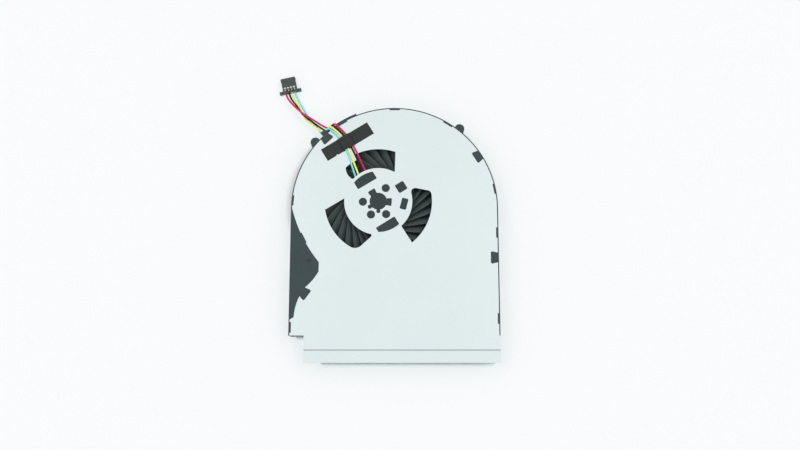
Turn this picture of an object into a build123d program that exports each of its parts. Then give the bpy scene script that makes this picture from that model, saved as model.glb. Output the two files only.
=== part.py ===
from build123d import *
import os
from math import asin, cos, degrees, radians, sin, tan

# A laptop cooling blower, lying on its inlet cover with its motor plate up.
# Millimetres. Z is the motor axis, z = 0 is the underside of the inlet cover,
# and the air leaves towards -Y.

# Housing: a round arch between two straight sides, open at the outlet mouth
housing_width = 80.0
housing_height = 8.0
arch_centre_x = 6.3          # arch centre, from the motor axis
arch_centre_y = -2.4
outlet_reach = 51.7          # motor axis to the outlet mouth
wall_thickness = 1.2
rim_width = 0.4              # plastic seen outside the plate's edge
seam_gap = 0.02              # between sheet metal and the plastic moulded round it
press_gap = 0.01             # between parts pressed into each other

# Motor plate: stamped sheet, with an outlet lip that steps down
plate_thickness = 0.4
plate_ledge = 0.8            # plastic under the plate along the wedge
lip_length = 10.2            # beyond the mouth
lip_setback = 5.8            # from the left side
lip_step = 0.4
lip_step_from_mouth = 5.2
lip_step_run = 0.5

# Air inlets in the motor plate. Ends are angles in degrees:
# inner start, outer start, outer end, inner end
inlet_inner_radius = 13.2
inlet_outer_radius = 20.8
wire_inlet_outer_radius = 18.5
right_inlet_ends = (-47.5, -51.2, 11.3, 26.0)
left_inlet_ends = (175.0, 189.2, 246.4, 262.2)
upper_inlet_ends = (61.2, 71.3, 115.7, 115.7)
wire_inlet_ends = (110.0, 110.0, 133.5, 138.7)
wire_inlet_end_bow = 0.8
right_inlet_corner = 1.6
left_inlet_corner = 3.5
small_corner = 0.6

# Wedge of plastic beside the outlet, ending in the volute's tongue
wedge_start_y = -2.7
volute_bow = 1.3             # how far the wedge's upper edge bows in
tongue_angle = 226.4
tongue_gap = 2.85            # impeller to the tongue's upper corner, at plate level
tongue_height = 3.6
tongue_bow = 0.35
knee_from_tongue = (-4.95, -9.6)
flank_bow = 0.95
flank_setback = 1.9          # from the left side
flank_end_from_mouth = 6.9
flank_step = 0.9
wedge_tab_share = 0.53       # of the way along the wedge's upper edge
wedge_tab_width = 4.4
wedge_tab_depth = 0.45
mould_mark_radius = 0.9
mould_mark_depth = 0.2
mould_hole_radius = 0.35
mould_hole_depth = 0.6

# Plastic keys that lock the plate's edge: dovetails and thin tabs
key_root_width = 3.4
key_head_width = 5.0
key_depth = 3.1
key_corner = 0.6
key_pad_depth = 0.8
arch_key_angles = (32.0, 134.0)
side_key_below_arch = 19.6
flank_key_from_knee = (-1.6, -1.45)
flank_key_angle = -36.0
tab_width = 4.0
tab_depth = 0.9
arch_tab_angles = (10.7, 58.0, 90.0, 121.3, 176.0)
side_tab_below_arch = 9.9
side_tab_above_mouth = 6.4
corner_tab_above_mouth = 3.0

# Screw ears and a rib on the arch, the wire hook and the cover's screws and clips
ear_angles = (51.0, 140.0)
ear_standoff = 0.5
ear_radius = 1.9
rib_from_angle = 112.0
rib_to_angle = 124.3
rib_depth = 0.6
wedge_screw_setback = 7.4
wedge_screw_y = -23.3
hook_angle = 132.8
hook_width = 2.2
hook_reach = 1.6
hook_thickness = 0.8
screw_radius = 0.6
screw_length = 3.6
screw_tip_clearance = 0.4
screw_head_radius = 1.3
screw_head_height = 0.35
screw_head_clearance = 0.2
screw_hole_clearance = 0.2
screw_slot_width = 0.35
screw_slot_depth = 0.15
clip_width = 4.0
clip_height = 3.2
clip_thickness = 0.35
clip_gap = 0.05
clip_window_width = 2.5
clip_window_height = 1.0
clip_window_bottom = 1.5
barb_clearance = 0.1
barb_depth = 0.3
right_clips_below_arch = (8.0, 32.0)
left_clip_below_arch = 20.0

# Inlet cover
cover_thickness = 0.4
cover_inlet_radius = 20.0
cover_lip_extra = 1.4        # beyond the motor plate's lip
cover_left_cut = 11.0        # slanted corners of the cover's lip
cover_right_cut = 2.8
cover_left_cut_from_side = 2.2

# Impeller
tip_clearance = 2.5          # impeller to the wall where the housing is narrowest
rotor_clearance = 0.6        # impeller to the cover, and to the plate
blade_count = 31
blade_thickness = 0.4
blade_tangent_radius = 11.5  # blades point at a tangent to this circle
blade_bow = 0.5
blade_lean = 42.0            # degrees off the motor axis, with the lower edge trailing
blade_step_clearance = 0.4   # blades to the circuit board
blade_step_margin = 0.4      # past the inlets
blade_ring_inset = 3.6       # stiffening ring, from the tips
blade_ring_width = 0.8
blade_ring_height = 0.9
hub_face_thickness = 0.6
hub_edge_radius = 0.4

# Motor, from the shaft outwards
shaft_radius = 0.75
running_clearance = 0.015
sleeve_wall = 1.235
tube_wall = 0.5
core_ring_width = 1.7
tooth_length = 4.0
tooth_tip = 0.7
tooth_width = 1.8
tooth_count = 6
tooth_tip_span = 46.0        # degrees
air_gap = 0.35
magnet_thickness = 1.35
yoke_thickness = 0.4
hub_wall = 1.4

# Motor, along the axis
mount_thickness = 0.9
board_thickness = 0.5
chip_room = 0.7              # under the board
coil_overhang = 0.5
insulator_thickness = 0.2
coil_clearance = 0.3
coil_thickness = 0.75
coil_corner = 0.45
coil_end_clearance = 0.25
magnet_recess = 0.2
hub_skirt_clearance = 0.6
tube_cap = 0.6               # plastic over the bearing tube
tube_clearance = 0.5
thrust_pad_thickness = 0.3
thrust_clearance = 0.03
retainer_thickness = 0.25
retainer_clearance = 0.05
groove_depth = 0.2
shaft_collar_height = 0.25
shaft_collar_width = 0.8

# Plastic of the motor mount, flush in the plate's windows
mount_edge = 0.6             # from the inlets' inner edge
boss_radius = 3.35
lobe_angles = (-4.0, 123.0)
lobe_reach = 5.2
lobe_root_width = 2.0
lobe_end_width = 3.1
nub_angles = (214.0, 271.0)
nub_circle = 3.9
nub_radius = 0.8
post_angles = (61.0, 182.0, 242.0, 301.0)
post_circle = 5.95
post_radius = 1.58
wire_pocket_depth = 1.4
wire_pocket_from = 100.0
wire_pocket_to = 142.0

# Four rectangular windows. A setback is from the mount's edge to the outer end,
# and a start and an end are tangential. The first two follow the mount's edge.
window_angles = (121.3, -57.5, 32.5, -15.0)
window_setbacks = (0.60, 0.50, 0.25, 1.45)
window_lengths = (3.9, 3.7, 3.7, 2.5)
window_starts = (-4.25, -6.40, -1.80, -0.60)
window_ends = (4.25, 2.05, 1.80, 3.80)
round_ended_count = 2
window_corner = 0.4

# Circuit board and what is on it
board_edge = 0.4             # from the inlets' inner edge
board_hole_clearance = 0.3
driver_chip_size = 2.6
driver_chip_height = 0.55
driver_chip_angle = 30.0
driver_chip_circle = 6.2
hall_sensor_size = (1.2, 1.6)
hall_sensor_height = 0.4
hall_sensor_angle = -15.0
capacitor_size = (0.6, 1.1)
capacitor_height = 0.5
capacitor_angles = (75.0, 205.0, 265.0)
capacitor_circle = 6.2
solder_size = 0.7

# Tape over the leads
tape_centre = (-12.16, 23.89)
tape_angle = 31.8
tape_length = 20.7
tape_width = 4.9
tape_thickness = 0.12
tape_hump_from = -2.75       # along the tape, from its middle
tape_hump_to = 1.70
tape_ramp = 1.2

# Leads: points of each route, from the circuit board to the plug
wire_diameter = 0.75
wire_sides = 8               # flats round a lead
wire_rest = 0.075            # air under a lead that lies on the plate
red_route = [
    (-4.70, 11.30, 7.12), (-5.25, 12.55, 7.12), (-6.50, 15.10, 7.60), (-8.05, 18.55, 8.42),
    (-9.70, 22.00, 8.45), (-12.80, 26.80, 8.45), (-14.60, 28.70, 8.45), (-16.10, 30.20, 8.45),
    (-17.30, 31.06, 8.42), (-18.21, 30.90, 7.05), (-18.99, 30.56, 5.70), (-20.04, 30.25, 4.80),
    (-21.33, 30.65, 4.75), (-23.21, 31.79, 4.80), (-26.22, 33.77, 4.80), (-30.10, 36.80, 4.50),
    (-33.60, 40.40, 3.40), (-36.00, 42.60, 2.00), (-37.22, 44.57, 1.10), (-37.65, 46.52, 1.10),
]
black_route = [
    (-6.05, 10.75, 7.12), (-6.50, 11.90, 7.12), (-7.10, 13.55, 7.60), (-7.85, 15.50, 8.42),
    (-9.05, 18.40, 8.45), (-10.55, 21.45, 8.45), (-13.60, 26.35, 8.45), (-15.35, 28.15, 8.45),
    (-16.85, 29.60, 8.45), (-18.06, 30.46, 8.42), (-18.79, 30.00, 7.05), (-19.45, 29.51, 5.55),
    (-20.24, 29.11, 4.20), (-21.70, 29.72, 3.85), (-23.54, 30.92, 4.00), (-27.10, 33.60, 3.90),
    (-30.30, 36.10, 3.30), (-33.10, 40.40, 2.40), (-34.90, 42.70, 1.60), (-36.00, 44.84, 1.10),
    (-36.43, 46.79, 1.10),
]
yellow_route = [
    (-7.35, 9.80, 7.12), (-7.85, 10.95, 7.12), (-8.45, 12.45, 7.60), (-9.20, 14.30, 8.42),
    (-10.35, 17.40, 8.45), (-11.75, 20.84, 8.45), (-14.40, 25.85, 8.45), (-16.10, 27.70, 8.45),
    (-17.75, 29.05, 8.45), (-18.97, 29.89, 8.42), (-19.92, 29.64, 7.10), (-20.60, 29.20, 5.75),
    (-21.30, 28.79, 4.45), (-22.38, 28.90, 3.70), (-24.20, 30.27, 3.55), (-27.56, 33.00, 3.20),
    (-29.80, 35.30, 2.30), (-32.30, 40.70, 1.60), (-33.80, 43.00, 1.25), (-34.78, 45.12, 1.10),
    (-35.21, 47.07, 1.10),
]
blue_route = [
    (-8.60, 8.85, 7.12), (-9.00, 10.05, 7.12), (-9.55, 11.60, 7.60), (-10.15, 13.45, 8.42),
    (-10.95, 16.20, 8.45), (-12.40, 20.20, 8.45), (-15.30, 25.25, 8.45), (-16.95, 26.95, 8.45),
    (-18.45, 28.30, 8.45), (-19.72, 29.16, 8.42), (-20.35, 28.69, 7.10), (-20.89, 28.18, 5.70),
    (-21.49, 27.82, 4.40), (-22.16, 27.80, 3.30), (-22.80, 28.50, 2.80), (-23.47, 29.73, 2.70),
    (-25.31, 31.82, 2.65), (-27.71, 34.98, 2.75), (-29.20, 37.00, 2.70), (-31.40, 41.00, 1.70),
    (-32.70, 43.20, 1.30), (-33.56, 45.39, 1.10), (-33.99, 47.34, 1.10),
]
routes = {"red": red_route, "black": black_route, "yellow": yellow_route, "blue": blue_route}
corner_share = 0.45          # of the shorter run, used by the bend at a corner

# Plug on the leads' free end, lying on the table
plug_place = (-35.65, 46.15)
plug_angle = 102.6
plug_width = 5.8
plug_length = 6.1
plug_height = 2.2
plug_edge_radius = 0.3
plug_wing_width = 8.8
plug_wing_length = 1.1
plug_wing_height = 1.4
plug_pitch = 1.25
plug_entry_depth = 0.85
plug_entry_clearance = 0.05
plug_slot_width = 0.75
plug_slot_depth = 4.2
plug_window_width = 1.0
plug_window_length = 2.0
plug_window_setback = 0.45
crimp_setback = 1.0
crimp_length = 1.4
crimp_width = 0.85
crimp_height = 1.15
terminal_width = 0.55
terminal_length = 3.6

# Derived sizes and levels
arch_radius = housing_width / 2
left_side = arch_centre_x - arch_radius
right_side = arch_centre_x + arch_radius
mouth_y = -outlet_reach
lip_y = mouth_y - lip_length
lip_step_y = mouth_y - lip_step_from_mouth
plate_seat = housing_height - plate_thickness
impeller_radius = -left_side - wall_thickness - tip_clearance
mount_radius = inlet_inner_radius - mount_edge
board_radius = inlet_inner_radius - board_edge
board_top = plate_seat - mount_thickness
board_bottom = board_top - board_thickness
screw_seat = cover_thickness + cover_thickness

sleeve_bore = shaft_radius + running_clearance
sleeve_radius = sleeve_bore + sleeve_wall
tube_bore = sleeve_radius + press_gap
tube_radius = tube_bore + tube_wall
core_bore = tube_radius + press_gap
core_ring_radius = core_bore + core_ring_width
tooth_end_radius = core_ring_radius + tooth_length
core_radius = tooth_end_radius + tooth_tip
magnet_bore = core_radius + air_gap
magnet_radius = magnet_bore + magnet_thickness
yoke_bore = magnet_radius + press_gap
yoke_radius = yoke_bore + yoke_thickness
hub_bore = yoke_radius + press_gap
hub_radius = hub_bore + hub_wall

impeller_bottom = cover_thickness + rotor_clearance
impeller_top = plate_seat - rotor_clearance
blade_step = board_bottom - blade_step_clearance
yoke_bottom = impeller_bottom + hub_face_thickness
yoke_floor = yoke_bottom + yoke_thickness
hub_top = board_bottom - hub_skirt_clearance
magnet_top = hub_top - magnet_recess
coil_bottom = yoke_floor + coil_clearance
coil_top = board_bottom - chip_room
core_bottom = coil_bottom + coil_overhang + insulator_thickness
core_top = coil_top - coil_overhang - insulator_thickness
tube_top = housing_height - tube_cap
tube_bottom = yoke_floor + tube_clearance
thrust_face = tube_top - thrust_pad_thickness
retainer_top = tube_bottom + retainer_clearance + retainer_thickness
wire_radius = wire_diameter / 2


def polar(radius, angle):
    """Point at a radius and an angle in degrees about the motor axis."""
    return Vector(radius * cos(radians(angle)), radius * sin(radians(angle)))


def ring(outer, inner):
    return Circle(outer) - Circle(inner)


def slab(sketch, bottom, top):
    """Sketch in the XY plane, extruded between two levels."""
    return Pos(0, 0, bottom) * extrude(sketch, amount=top - bottom, dir=(0, 0, 1))


def bowed_edge(start, end, bow):
    """Arc whose middle stands off its chord by bow, to the left of the way along."""
    start = Vector(start)
    end = Vector(end)
    chord = end - start
    left = Vector(-chord.Y, chord.X).normalized()
    return ThreePointArc(start, (start + end) * 0.5 + left * bow, end)


def outline(inset, reach):
    """Arch and straight sides, drawn in by an inset and cut off square at -Y."""
    left = left_side + inset
    right = right_side - inset
    crown = arch_centre_y + arch_radius - inset
    return make_face([
        Line((left, -reach), (left, arch_centre_y)),
        ThreePointArc((left, arch_centre_y), (arch_centre_x, crown), (right, arch_centre_y)),
        Line((right, arch_centre_y), (right, -reach)),
        Line((right, -reach), (left, -reach)),
    ])


def on_arch(angle):
    """Place on the arch's outer face, with its X axis pointing inwards."""
    return Pos(arch_centre_x, arch_centre_y) * Rot(0, 0, angle) * Pos(arch_radius, 0) * Rot(0, 0, 180)


def on_right_side(y):
    return Pos(right_side, y) * Rot(0, 0, 180)


def on_left_side(y):
    return Pos(left_side, y)


def tongue_knee():
    tip = polar(impeller_radius + tongue_gap, tongue_angle)
    return tip + Vector(*knee_from_tongue)


def wedge_sketch():
    """Plastic beside the outlet that the plate leaves open to view, with a thin tab on its upper edge."""
    start = Vector(left_side + rim_width, wedge_start_y)
    tip = polar(impeller_radius + tongue_gap, tongue_angle)
    tip_end = tip - Vector(0, tongue_height)
    knee = tongue_knee()
    flank_end = Vector(left_side + flank_setback, mouth_y + flank_end_from_mouth)
    foot = Vector(left_side + rim_width, flank_end.Y - flank_step)
    upper = bowed_edge(start, tip, -volute_bow)
    tab_place = Plane(upper @ wedge_tab_share, x_dir=upper % wedge_tab_share, z_dir=(0, 0, 1))
    tab = tab_place.location * Rectangle(wedge_tab_width, 2 * wedge_tab_depth)
    return tab + make_face([
        Line((left_side, wedge_start_y), start),
        upper,
        Line(tip, tip_end),
        bowed_edge(tip_end, knee, tongue_bow),
        bowed_edge(knee, flank_end, -flank_bow),
        Line(flank_end, foot),
        Line(foot, (left_side, foot.Y)),
        Line((left_side, foot.Y), (left_side, wedge_start_y)),
    ])


def dovetail(grow):
    """Key that widens inwards from the wall, drawn from just outside it."""
    root = key_root_width / 2 + grow
    head = key_head_width / 2 + grow
    depth = key_depth + grow
    outside = -rim_width
    shape = make_face(Polyline((outside, -root), (depth, -head), (depth, head), (outside, root), close=True))
    return fillet(shape.vertices().sort_by(Axis.X)[-2:], key_corner)


def edge_tab(grow):
    depth = tab_depth + grow + rim_width
    return Pos(depth / 2 - rim_width, 0) * Rectangle(depth, tab_width + 2 * grow)


def dovetail_places():
    places = [on_arch(angle) for angle in arch_key_angles]
    places.append(on_right_side(arch_centre_y - side_key_below_arch))
    flank = tongue_knee() + Vector(*flank_key_from_knee)
    places.append(Pos(flank.X, flank.Y) * Rot(0, 0, flank_key_angle))
    return places


def tab_places():
    places = [on_arch(angle) for angle in arch_tab_angles]
    places.append(on_right_side(arch_centre_y - side_tab_below_arch))
    places.append(on_right_side(mouth_y + side_tab_above_mouth))
    places.append(on_left_side(mouth_y + corner_tab_above_mouth))
    return places


def dovetails(grow):
    return Sketch() + [place * dovetail(grow) for place in dovetail_places()]


def edge_tabs(grow):
    return Sketch() + [place * edge_tab(grow) for place in tab_places()]


def ear_places():
    return [on_arch(angle) * Pos(-ear_standoff, 0) for angle in ear_angles]


def screw_places():
    return ear_places() + [Pos(left_side + wedge_screw_setback, wedge_screw_y)]


def inlet(outer_radius, ends, end_bow=0):
    """Curved window between two radii, with slanted ends of which the last may bow out."""
    inner_start, outer_start, outer_end, inner_end = ends
    inner = inlet_inner_radius
    inner_middle = polar(inner, (inner_start + inner_end) / 2)
    outer_middle = polar(outer_radius, (outer_start + outer_end) / 2)
    last_corners = polar(outer_radius, outer_end), polar(inner, inner_end)
    last = bowed_edge(*last_corners, -end_bow) if end_bow else Line(*last_corners)
    return make_face([
        Line(polar(inner, inner_start), polar(outer_radius, outer_start)),
        ThreePointArc(polar(outer_radius, outer_start), outer_middle, polar(outer_radius, outer_end)),
        last,
        ThreePointArc(polar(inner, inner_end), inner_middle, polar(inner, inner_start)),
    ])


def round_corner(sketch, radius, angle, corner):
    """Fillet the sketch's vertex nearest to a polar place."""
    vertex = sketch.vertices().sort_by_distance(polar(radius, angle))[0]
    return fillet(vertex, corner)


def inlet_windows():
    right = inlet(inlet_outer_radius, right_inlet_ends)
    right = round_corner(right, inlet_outer_radius, right_inlet_ends[2], right_inlet_corner)
    right = round_corner(right, inlet_inner_radius, right_inlet_ends[3], right_inlet_corner)
    left = inlet(inlet_outer_radius, left_inlet_ends)
    left = round_corner(left, inlet_outer_radius, left_inlet_ends[2], left_inlet_corner)
    left = round_corner(left, inlet_inner_radius, left_inlet_ends[3], small_corner)
    wires = inlet(wire_inlet_outer_radius, wire_inlet_ends, wire_inlet_end_bow)
    wires = round_corner(wires, wire_inlet_outer_radius, wire_inlet_ends[2], small_corner)
    wires = round_corner(wires, inlet_inner_radius, wire_inlet_ends[3], small_corner)
    upper = inlet(inlet_outer_radius, upper_inlet_ends) + wires
    return right + left + upper


def lobe(angle, grow):
    root = lobe_root_width / 2 + grow
    end = lobe_end_width / 2 + grow
    reach = lobe_reach + grow
    shape = make_face(Polyline((0, -root), (reach, -end), (reach, end), (0, root), close=True))
    return Rot(0, 0, angle) * fillet(shape.vertices().sort_by(Axis.X)[-2:], window_corner + grow)


def block_windows(grow):
    shape = Sketch()
    for index, angle in enumerate(window_angles):
        outer = mount_radius - window_setbacks[index] + grow
        radial = window_lengths[index] + 2 * grow
        across = window_ends[index] - window_starts[index] + 2 * grow
        middle = (window_starts[index] + window_ends[index]) / 2
        block = Pos(outer - radial / 2, middle) * Rectangle(radial, across)
        if index < round_ended_count:
            block = block & Circle(outer)
        shape += Rot(0, 0, angle) * fillet(block.vertices(), window_corner + grow)
    return shape


def mount_windows(grow):
    """Windows near the motor axis that the mount's plastic fills."""
    shape = Sketch() + Circle(boss_radius + grow)
    for angle in lobe_angles:
        shape += lobe(angle, grow)
    for angle in nub_angles:
        shape += Pos(polar(nub_circle, angle)) * Circle(nub_radius + grow)
    for angle in post_angles:
        shape += Pos(polar(post_circle, angle)) * Circle(post_radius + grow)
    return shape + block_windows(grow)


def base_plate():
    """Stamped motor plate with its inlets, windows, edge notches and stepped lip."""
    flat = outline(rim_width + seam_gap, outlet_reach)
    flat -= offset(wedge_sketch(), amount=seam_gap, kind=Kind.ARC)
    flat -= dovetails(seam_gap)
    flat -= edge_tabs(seam_gap)
    flat -= inlet_windows()
    flat -= mount_windows(seam_gap)
    low = -lip_step
    bend_end = lip_step_y - lip_step_run
    profile = make_face(Polyline(
        (mouth_y, 0), (lip_step_y, 0), (bend_end, low), (lip_y, low),
        (lip_y, low + plate_thickness), (bend_end, low + plate_thickness),
        (lip_step_y, plate_thickness), (mouth_y, plate_thickness), close=True,
    ))
    lip_left = left_side + lip_setback
    lip_plane = Plane((lip_left, 0, plate_seat), x_dir=(0, 1, 0), z_dir=(1, 0, 0))
    lip = extrude(lip_plane * profile, amount=right_side - lip_left, dir=(1, 0, 0))
    return slab(flat, plate_seat, housing_height) + lip


def barb(place):
    """Wedge on the wall's outside that a cover clip snaps over, ramped from below."""
    bottom = clip_window_bottom + barb_clearance
    top = clip_window_bottom + clip_window_height - barb_clearance
    width = clip_window_width - 2 * barb_clearance
    inner = rim_width
    ramp = make_face(Polyline((inner, bottom), (0, bottom), (-barb_depth, top), (inner, top), close=True))
    upright = Plane((0, -width / 2, 0), x_dir=(1, 0, 0), z_dir=(0, -1, 0))
    return place * extrude(upright * ramp, amount=width, dir=(0, 1, 0))


def clip_places():
    places = [on_right_side(arch_centre_y - below) for below in right_clips_below_arch]
    places.append(on_left_side(arch_centre_y - left_clip_below_arch))
    return places


def arch_rib():
    """Rib outside the arch, beside the leads."""
    reach = 2 * arch_radius
    half_width = reach * tan(radians((rib_to_angle - rib_from_angle) / 2))
    fan = make_face(Polyline((0, 0), (reach, -half_width), (reach, half_width), close=True))
    band = ring(arch_radius + rib_depth, arch_radius - rim_width)
    return Pos(arch_centre_x, arch_centre_y) * Rot(0, 0, (rib_from_angle + rib_to_angle) / 2) * (fan & band)


def frame():
    """Moulded wall, wedge, keys, ears, rib and wire hook, as one piece."""
    outside = outline(0, outlet_reach)
    wedge = wedge_sketch()
    wedge_body = offset(wedge, amount=plate_ledge, kind=Kind.ARC) & outside
    chamber = outline(wall_thickness, outlet_reach + wall_thickness) - wedge_body
    keys = dovetails(0) & outside
    body = slab(outside - chamber, cover_thickness, plate_seat)
    rim = outside - outline(rim_width, outlet_reach + wall_thickness)
    body += slab(rim + wedge + keys + (edge_tabs(0) & outside), plate_seat, housing_height)
    body += slab(keys, plate_seat - key_pad_depth, plate_seat)
    inside = slab(chamber, 0, plate_seat) + slab(outside - rim, plate_seat, housing_height)
    for place in ear_places():
        body += place * slab(Circle(ear_radius), cover_thickness, housing_height) - inside
    body += slab(arch_rib(), cover_thickness, housing_height)
    finger = on_arch(hook_angle) * Pos((rim_width - hook_reach) / 2, 0)
    finger_size = Rectangle(hook_reach + rim_width, hook_width)
    body += finger * slab(finger_size, housing_height - hook_thickness, housing_height)
    for place in clip_places():
        body += barb(place)
    hole_top = cover_thickness + screw_length + screw_tip_clearance
    for place in screw_places():
        body -= place * slab(Circle(ear_radius + seam_gap), 0, screw_seat)
        body -= place * slab(Circle(screw_radius + press_gap), 0, hole_top)
    mark = screw_places()[-1]
    body -= mark * slab(Circle(mould_mark_radius), housing_height - mould_mark_depth, housing_height)
    return body - mark * slab(Circle(mould_hole_radius), housing_height - mould_hole_depth, housing_height)


def cover_outline():
    """Sheet under the whole housing, with a lip whose corners are cut at 45 degrees."""
    left = left_side + cover_left_cut_from_side
    root_y = mouth_y + rim_width
    end_y = lip_y - cover_lip_extra
    lip = make_face(Polyline(
        (left, root_y), (left, end_y + cover_left_cut),
        (left + cover_left_cut, end_y), (right_side - cover_right_cut, end_y),
        (right_side, end_y + cover_right_cut), (right_side, root_y), close=True,
    ))
    return outline(0, outlet_reach) + lip


def cover_clip(place):
    """Tab bent up along the wall, with a window for the barb."""
    outer = clip_gap + clip_thickness
    foot = Pos(rim_width / 2 - outer / 2, 0) * Rectangle(outer + rim_width, clip_width)
    tab = Pos(-clip_gap - clip_thickness / 2, 0) * Rectangle(clip_thickness, clip_width)
    window = Pos(-outer / 2, 0) * Rectangle(2 * outer, clip_window_width)
    window_top = clip_window_bottom + clip_window_height
    shape = slab(foot, 0, cover_thickness) + slab(tab, 0, clip_height)
    return place * (shape - slab(window, clip_window_bottom, window_top))


def cover():
    """Inlet cover: flat sheet with a round inlet, sunk screw seats and side clips."""
    sheet = cover_outline() - Circle(cover_inlet_radius)
    for place in screw_places():
        sheet += place * Circle(ear_radius)
    body = slab(sheet, 0, cover_thickness)
    for place in screw_places():
        body -= place * slab(Circle(screw_head_radius + screw_head_clearance), 0, cover_thickness)
        seat = ring(ear_radius, screw_radius + screw_hole_clearance)
        body += place * slab(seat, cover_thickness, screw_seat)
    for place in clip_places():
        body += cover_clip(place)
    return body


def cover_screw():
    head_bottom = cover_thickness - screw_head_height
    body = slab(Circle(screw_head_radius), head_bottom, cover_thickness)
    body += slab(Circle(screw_radius), cover_thickness, cover_thickness + screw_length)
    slot = Rectangle(2 * screw_head_radius - 2 * screw_slot_width, screw_slot_width)
    cross = slot + Rot(0, 0, 90) * slot
    return body - slab(cross, head_bottom, head_bottom + screw_slot_depth)


def cover_screws():
    return [place * cover_screw() for place in screw_places()]


def motor_mount():
    """Plastic disc under the plate, with the posts and blocks that fill its windows."""
    body = slab(Circle(mount_radius), board_top, plate_seat)
    body += slab(mount_windows(0), plate_seat, housing_height)
    body -= slab(Circle(tube_radius + press_gap), 0, tube_top)
    span = wire_pocket_to - wire_pocket_from
    middle = (wire_pocket_to + wire_pocket_from) / 2
    reach = 2 * mount_radius
    half_width = reach * tan(radians(span / 2))
    fan = make_face(Polyline((0, 0), (reach, -half_width), (reach, half_width), close=True))
    pocket = Rot(0, 0, middle) * fan - Circle(mount_radius - wire_pocket_depth)
    return body - slab(pocket, 0, plate_seat)


def bearing_tube():
    return slab(ring(tube_radius, tube_bore), tube_bottom, tube_top)


def bearing_sleeve():
    bottom = retainer_top + retainer_clearance
    return slab(ring(sleeve_radius, sleeve_bore), bottom, thrust_face)


def thrust_pad():
    return slab(Circle(sleeve_radius), thrust_face, tube_top)


def shaft_retainer():
    bore = shaft_radius - groove_depth + running_clearance * 2
    return slab(ring(sleeve_radius, bore), retainer_top - retainer_thickness, retainer_top)


def shaft():
    """Pin pressed into the rotor, with a groove for the retainer and a pointed end."""
    bottom = impeller_bottom + hub_face_thickness / 2
    top = thrust_face - thrust_clearance
    body = slab(Circle(shaft_radius), bottom, top)
    body = chamfer(body.faces().sort_by(Axis.Z)[-1].edges(), shaft_radius / 2)
    groove = ring(shaft_radius * 2, shaft_radius - groove_depth)
    groove_bottom = retainer_top - retainer_thickness - retainer_clearance
    return body - slab(groove, groove_bottom, retainer_top + retainer_clearance)


def tooth_places():
    return [Rot(0, 0, 360 * index / tooth_count) for index in range(tooth_count)]


def stator_star(end_radius):
    """Ring with straight teeth, as stamped for the core and its end insulators."""
    length = end_radius - core_bore
    tooth = Pos(core_bore + length / 2, 0) * Rectangle(length, tooth_width)
    shape = Circle(core_ring_radius) + [place * tooth for place in tooth_places()]
    return shape - Circle(core_bore)


def stator_core():
    half_span = core_radius * tan(radians(tooth_tip_span / 2))
    fan = make_face(Polyline((0, 0), (core_radius, -half_span), (core_radius, half_span), close=True))
    tip = fan & ring(core_radius, tooth_end_radius)
    shape = stator_star(tooth_end_radius + tooth_tip / 2) + [place * tip for place in tooth_places()]
    return slab(shape, core_bottom, core_top)


def end_insulator(bottom):
    return slab(stator_star(tooth_end_radius), bottom, bottom + insulator_thickness)


def stator_coils():
    """One winding round each tooth, over the end insulators."""
    start = core_ring_radius + coil_end_clearance
    length = tooth_end_radius - coil_end_clearance - start
    height = coil_top - coil_bottom
    opening_width = tooth_width + 2 * press_gap
    opening_height = core_top - core_bottom + 2 * insulator_thickness + 2 * press_gap
    outer = Rectangle(opening_width + 2 * coil_thickness, height)
    section = chamfer(outer.vertices(), coil_corner) - Rectangle(opening_width, opening_height)
    across = Plane((start, 0, (coil_bottom + coil_top) / 2), x_dir=(0, 1, 0), z_dir=(1, 0, 0))
    coil = extrude(across * section, amount=length, dir=(1, 0, 0))
    return [place * coil for place in tooth_places()]


def circuit_board():
    return slab(ring(board_radius, tube_radius + board_hole_clearance), board_bottom, board_top)


def under_board(size, height, angle, circle):
    """Block on the board's underside, at a polar place."""
    return Rot(0, 0, angle) * Pos(circle, 0) * slab(Rectangle(*size), board_bottom - height, board_bottom)


def driver_chip():
    size = (driver_chip_size, driver_chip_size)
    return under_board(size, driver_chip_height, driver_chip_angle, driver_chip_circle)


def hall_sensor():
    circle = (magnet_bore + magnet_radius) / 2
    return under_board(hall_sensor_size, hall_sensor_height, hall_sensor_angle, circle)


def chip_capacitors():
    size = capacitor_size
    return [under_board(size, capacitor_height, angle, capacitor_circle) for angle in capacitor_angles]


def solder_joints():
    """Block of solder behind the end of each lead, on the board."""
    joints = []
    for route in routes.values():
        start = Vector(*route[0])
        way = (Vector(*route[1]) - start).normalized()
        place = Plane((start.X, start.Y, board_top), x_dir=way, z_dir=(0, 0, 1))
        block = slab(Pos(-solder_size / 2, 0) * Rectangle(solder_size, solder_size), 0, solder_size)
        joints.append(place.location * block)
    return joints


def blade():
    """Bowed strip swept back from the hub, extruded down along a slant across its chord."""
    root_radius = hub_radius - hub_wall / 2
    sweep = degrees(asin(blade_tangent_radius / root_radius) - asin(blade_tangent_radius / impeller_radius))
    root = polar(root_radius, 0)
    tip = polar(impeller_radius, sweep)
    chord = tip - root
    trailing = Vector(-chord.Y, chord.X).normalized()
    half = trailing * (blade_thickness / 2)
    outer = bowed_edge(root - half, tip - half, -blade_bow)
    inner = bowed_edge(tip + half, root + half, blade_bow)
    strip = make_face([outer, Line(outer @ 1, inner @ 0), inner, Line(inner @ 1, outer @ 0)])
    height = impeller_top - impeller_bottom
    slant = trailing * (height * tan(radians(blade_lean))) - Vector(0, 0, height)
    return Pos(0, 0, impeller_top) * Solid.extrude(strip.face(), slant)


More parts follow.
